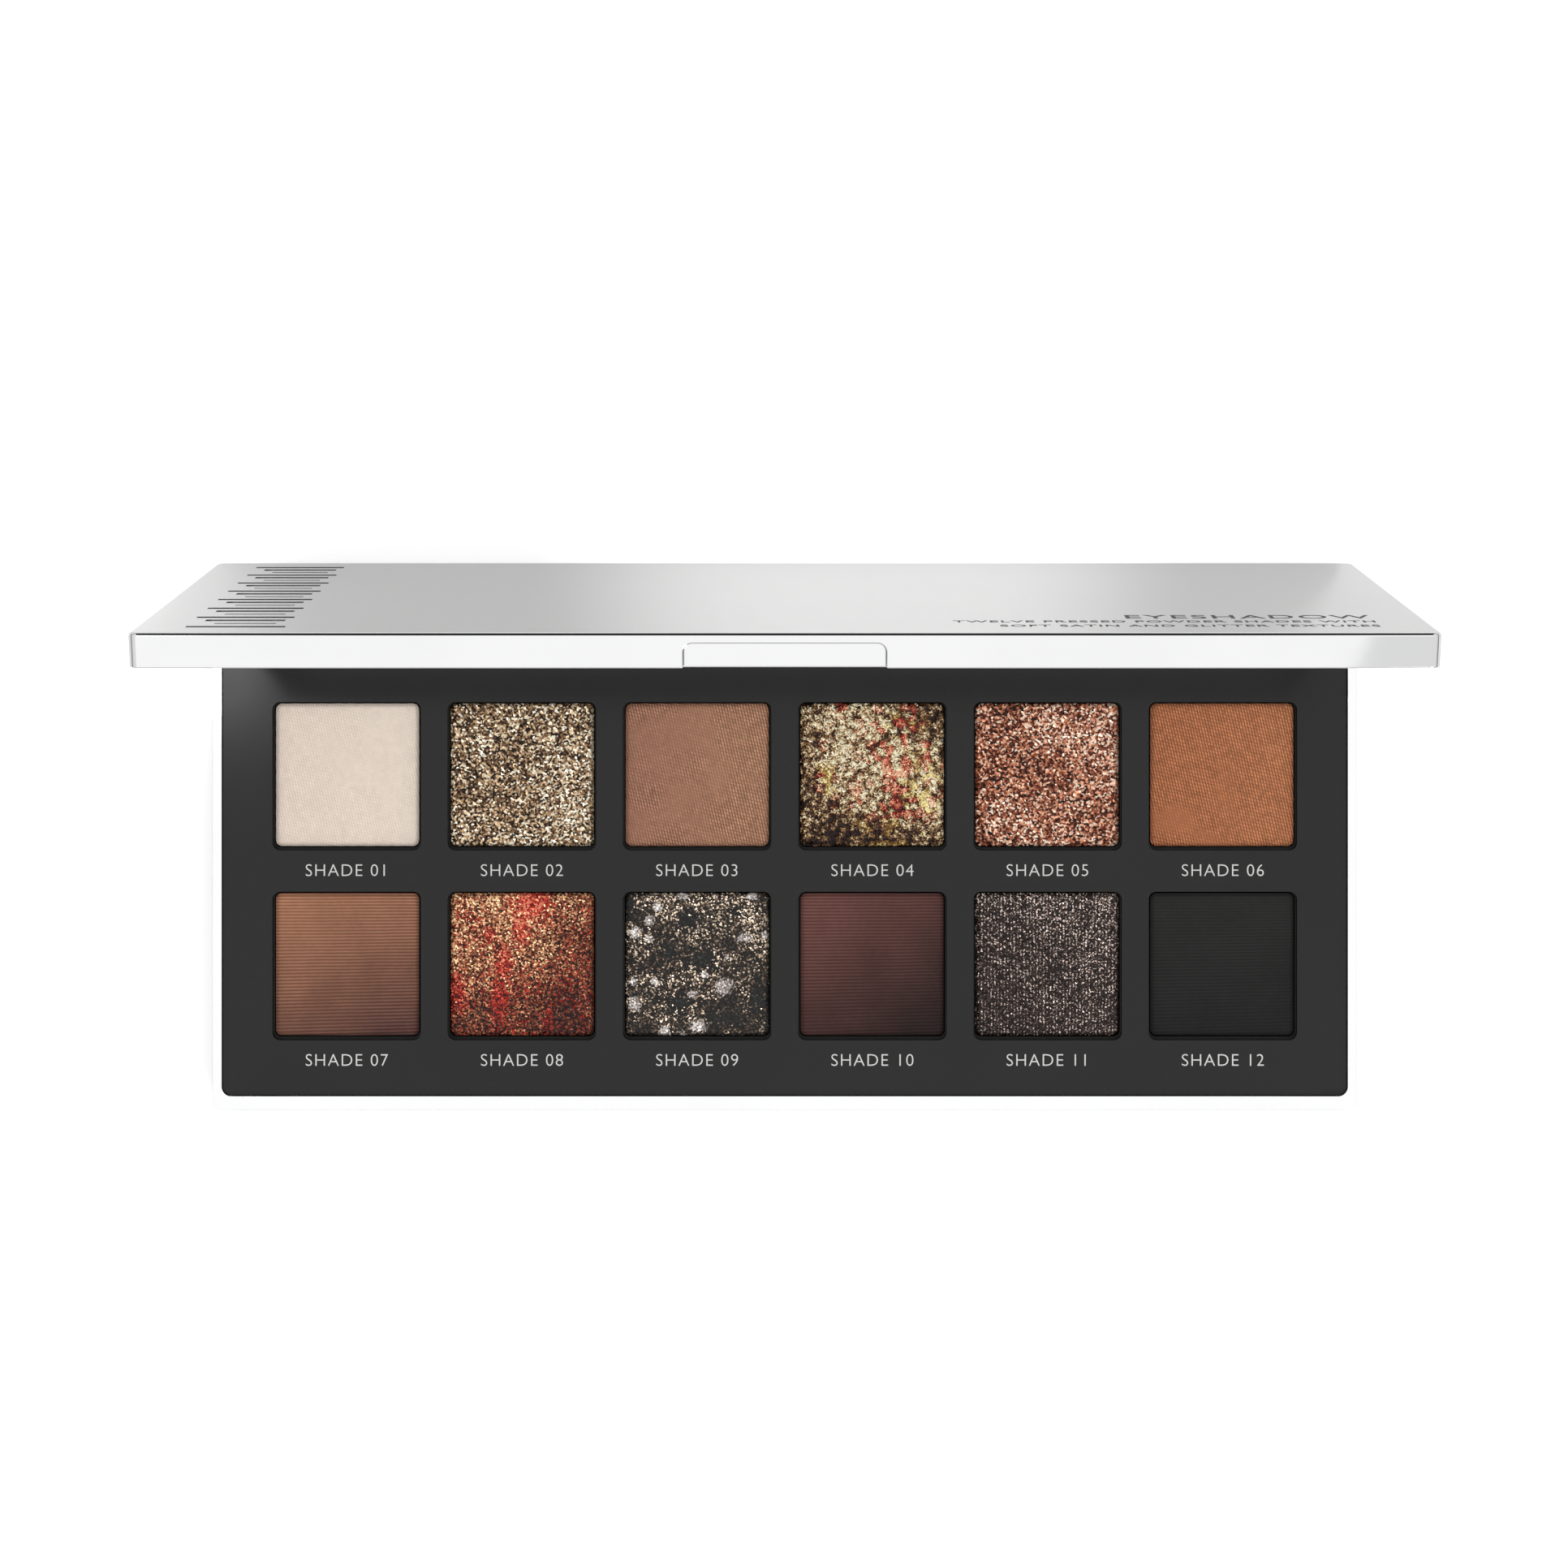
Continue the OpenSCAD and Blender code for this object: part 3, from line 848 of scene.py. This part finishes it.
def build_lid_lines(ink):
    """Three short printed lines at the lid's front right corner, readable with the lid closed."""
    thicker, margin = 0.03 * MM, 6.5 * MM
    # The words, how tall their capitals are and how far they are from the lid's front edge.
    lines = (("EYESHADOW", 3.2 * MM, 15.0 * MM),
             ("TWELVE PRESSED POWDER SHADES WITH", 1.7 * MM, 10.6 * MM),
             ("SOFT SATIN AND GLITTER TEXTURES", 1.7 * MM, 6.6 * MM))
    for number, (words, height, front) in enumerate(lines, 1):
        mesh = lettering(words, height, f"lid_line_{number}", thicker)
        reach = max(vert.co.x for vert in mesh.vertices)
        place = Vector((LID_W / 2 - margin - reach, -LID_D / 2 + front, LID_Z1))
        mesh.transform(OPENED @ Matrix.Translation(place))
        link(f"lid_line_{number}", mesh, "lid", ink)


# ---------------------------------------------------------------- stage, light and camera


def area_light(name, place, target, size, radiance, turn=0.0, mirrored=True):
    """A soft box that shines with the same radiance all over, turned in degrees about its axis.

    One that is not mirrored lights the scene and doesn't show in the silver."""
    data = bpy.data.lights.new(name, "AREA")
    data.shape, data.size, data.size_y = "RECTANGLE", *size
    data.energy = radiance * size[0] * size[1] * math.pi
    lamp = bpy.data.objects.new(name, data)
    lamp.location = place
    aim = (Vector(target) - Vector(place)).to_track_quat("-Z", "Y").to_matrix()
    lamp.rotation_euler = (aim @ Matrix.Rotation(math.radians(turn), 3, "Z")).to_euler()
    lamp.visible_camera = False
    lamp.visible_glossy = mirrored
    bpy.context.scene.collection.objects.link(lamp)


def pool(name, place, target, width, power, softness=1.0):
    """A pool of light on the floor, width metres across."""
    data = bpy.data.lights.new(name, "SPOT")
    away = (Vector(target) - Vector(place)).length
    data.spot_size = 2 * math.atan(width / 2 / away)
    data.spot_blend = softness
    data.energy, data.shadow_soft_size = power, 0.005
    lamp = bpy.data.objects.new(name, data)
    lamp.location = place
    lamp.rotation_euler = (Vector(target) - Vector(place)).to_track_quat("-Z", "Y").to_euler()
    lamp.visible_camera = False
    bpy.context.scene.collection.objects.link(lamp)


def quad(name, corners):
    """A mesh of one four-sided face."""
    mesh = bpy.data.meshes.new(name)
    mesh.from_pydata(corners, [], [(0, 1, 2, 3)])
    return mesh


def stage_piece(mesh, shader, unseen_by=()):
    """Makes an object of a mesh, with its material, in the scene, where the kinds of ray in
    unseen_by pass it by.
    """
    mesh.materials.append(shader.material)
    piece = bpy.data.objects.new(mesh.name, mesh)
    for ray in unseen_by:
        setattr(piece, f"visible_{ray}", False)
    bpy.context.scene.collection.objects.link(piece)


def build_floor():
    """A plain white floor that runs on under the backdrop."""
    reach = 4.0
    shader = Shader("floor_white", roughness=0.9, specular_ior_level=0.0)
    shader.set(shader.surface, "Base Color", shader.ramp(shader.noise(0.4), [
        (0.3, (0.86,) * 3), (0.7, (0.88,) * 3)]))
    stage_piece(quad("floor", [
        (-reach, -reach, 0), (reach, -reach, 0), (reach, reach, 0), (-reach, reach, 0)]), shader)


def build_backdrop():
    """A white wall all round, seen only by the camera, that meets the floor without a line."""
    radius, height = 3.6, 3.0
    wall = bmesh.new()
    bmesh.ops.create_cone(
        wall, cap_ends=False, segments=96, radius1=radius, radius2=radius, depth=2 * height)
    shader = Shader("backdrop_white", base_color=(0.0, 0.0, 0.0), emission_color=(1.0, 1.0, 1.0),
                    emission_strength=1.0, specular_ior_level=0.0)
    stage_piece(as_mesh(wall, "backdrop"), shader,
                ("diffuse", "glossy", "transmission", "volume_scatter", "shadow"))


def build_flag():
    """A dark card far behind, seen only in the silver, that draws the line along the lid's edge."""
    wide, back, low, tall = 0.42, 1.0, 0.002, 3.4
    shader = Shader("flag_black", base_color=(0.02, 0.02, 0.02), specular_ior_level=0.0)
    stage_piece(quad("flag", [
        (-wide, back, low), (wide, back, low), (wide, back, tall), (-wide, back, tall)]), shader,
        ("camera", "diffuse", "shadow"))


def build_world():
    """A pale studio: bright overhead and dark at the horizon."""
    world = bpy.data.worlds.new("studio")
    bpy.context.scene.world = world
    world.use_nodes = True
    tree = world.node_tree
    background = tree.nodes["Background"]
    place = tree.nodes.new("ShaderNodeTexCoord")
    split = tree.nodes.new("ShaderNodeSeparateXYZ")
    ramp = tree.nodes.new("ShaderNodeValToRGB")
    horizon, overhead = (0.02, 0.26), (0.45, 1.32)      # height and radiance
    for element, (height, glow) in zip(ramp.color_ramp.elements, (horizon, overhead), strict=True):
        element.position, element.color = height, (glow, glow, glow, 1)
    tree.links.new(place.outputs["Generated"], split.inputs[0])
    tree.links.new(split.outputs["Z"], ramp.inputs["Fac"])
    tree.links.new(ramp.outputs["Color"], background.inputs["Color"])
    background.inputs["Strength"].default_value = 1.0


def build_light():
    """Soft boxes from above and behind, and small pools on the floor that the lid reflects."""
    build_world()
    build_flag()
    area_light("overhead", (-0.257, -0.48, 1.2), (-0.257, -0.48, 0), (1.0, 0.64), 0.45, turn=-2)
    area_light("zenith", (0, 0.02, 1.2), (0, 0.02, 0), (0.64, 0.36), 0.60)
    area_light("behind", (0, 0.75, 0.75), (0, 0.05, 0), (0.8, 0.4), 3.7, mirrored=False)
    area_light("key", (0.45, -0.68, 0.80), (0, 0, 0), (0.35, 0.35), 12.8)
    area_light("glow", (-0.161, 0.043, 0.56), (-0.07, 0.02, 0), (0.03, 0.03), 17.0)
    pool("pool_middle", (0.011, 0.35, 0.5), (0.011, 0.043, 0), 0.093, 9.4)
    pool("pool_left", (-0.106, 0.35, 0.5), (-0.106, 0.043, 0), 0.08, 7.8)
    pool("pool_right", (0.060, 0.35, 0.5), (0.060, 0.043, 0), 0.085, 0.9)


def build_camera():
    """Straight above the palette, a little behind its middle, looking down."""
    data = bpy.data.cameras.new("camera")
    data.sensor_width, data.lens = 36.0, 88.41
    data.clip_start, data.clip_end = 0.01, 50.0
    above_rim = 528 * MM
    camera = bpy.data.objects.new("camera", data)
    camera.location = (-0.1 * MM, 7.45 * MM, RIM_Z + above_rim)
    bpy.context.scene.collection.objects.link(camera)
    bpy.context.scene.camera = camera


# ---------------------------------------------------------------- everything


def dress(node, material):
    """Gives a carried-over CAD node its material."""
    mesh = frame["nodes"][node].data
    mesh.materials.clear()
    mesh.materials.append(material)


def build():
    """The whole palette: shells and cakes replace their CAD nodes, and the rest get materials."""
    silver = metallised_silver()
    dark = satin_dark()
    build_lid(silver)
    build_rounded("base_shell", "base_tray", "base", silver, 0.15 * MM)
    build_rounded("insert_plate", "insert", "base", dark, 0.02 * MM, rim=0.2 * MM)
    build_rounded("mirror_frame", "mirror_liner", "lid", satin_silver(), 0.12 * MM)
    build_rounded("mirror_glass", "mirror", "lid", mirror_silver(), 0.15 * MM)
    build_shades()
    build_labels(soft_plastic("label_ink", seen(196, 196, 194), 0.6))
    build_lid_lines(soft_plastic("lid_ink", (0.02, 0.02, 0.02), 0.5, gloss=0.05))

    pan = plain_metal("pan_lacquer", (0.10, 0.075, 0.06), 0.45)
    for i in range(1, SHADE_COUNT + 1):
        dress(f"pan_{i:02d}", pan)
    steel = plain_metal("drawn_steel", (0.55, 0.55, 0.57), 0.3)
    for node in ("hinge_pin_left", "hinge_pin_right"):
        dress(node, steel)
    nickel = plain_metal("nickel_plate", (0.6, 0.59, 0.57), 0.25)
    for node in ("base_magnets", "lid_magnets"):
        dress(node, nickel)
    dress("pan_glue_dots", soft_plastic("hot_melt", (0.72, 0.68, 0.56), 0.4))
    dress("bottom_label", soft_plastic("label_paper", (0.82, 0.82, 0.81), 0.7))
    dress("mirror_tape", soft_plastic("foam_tape", (0.78, 0.78, 0.75), 0.8))


bpy.context.scene.view_settings.view_transform = "Standard"
build_camera()
build_floor()
build_backdrop()
build_light()
build()
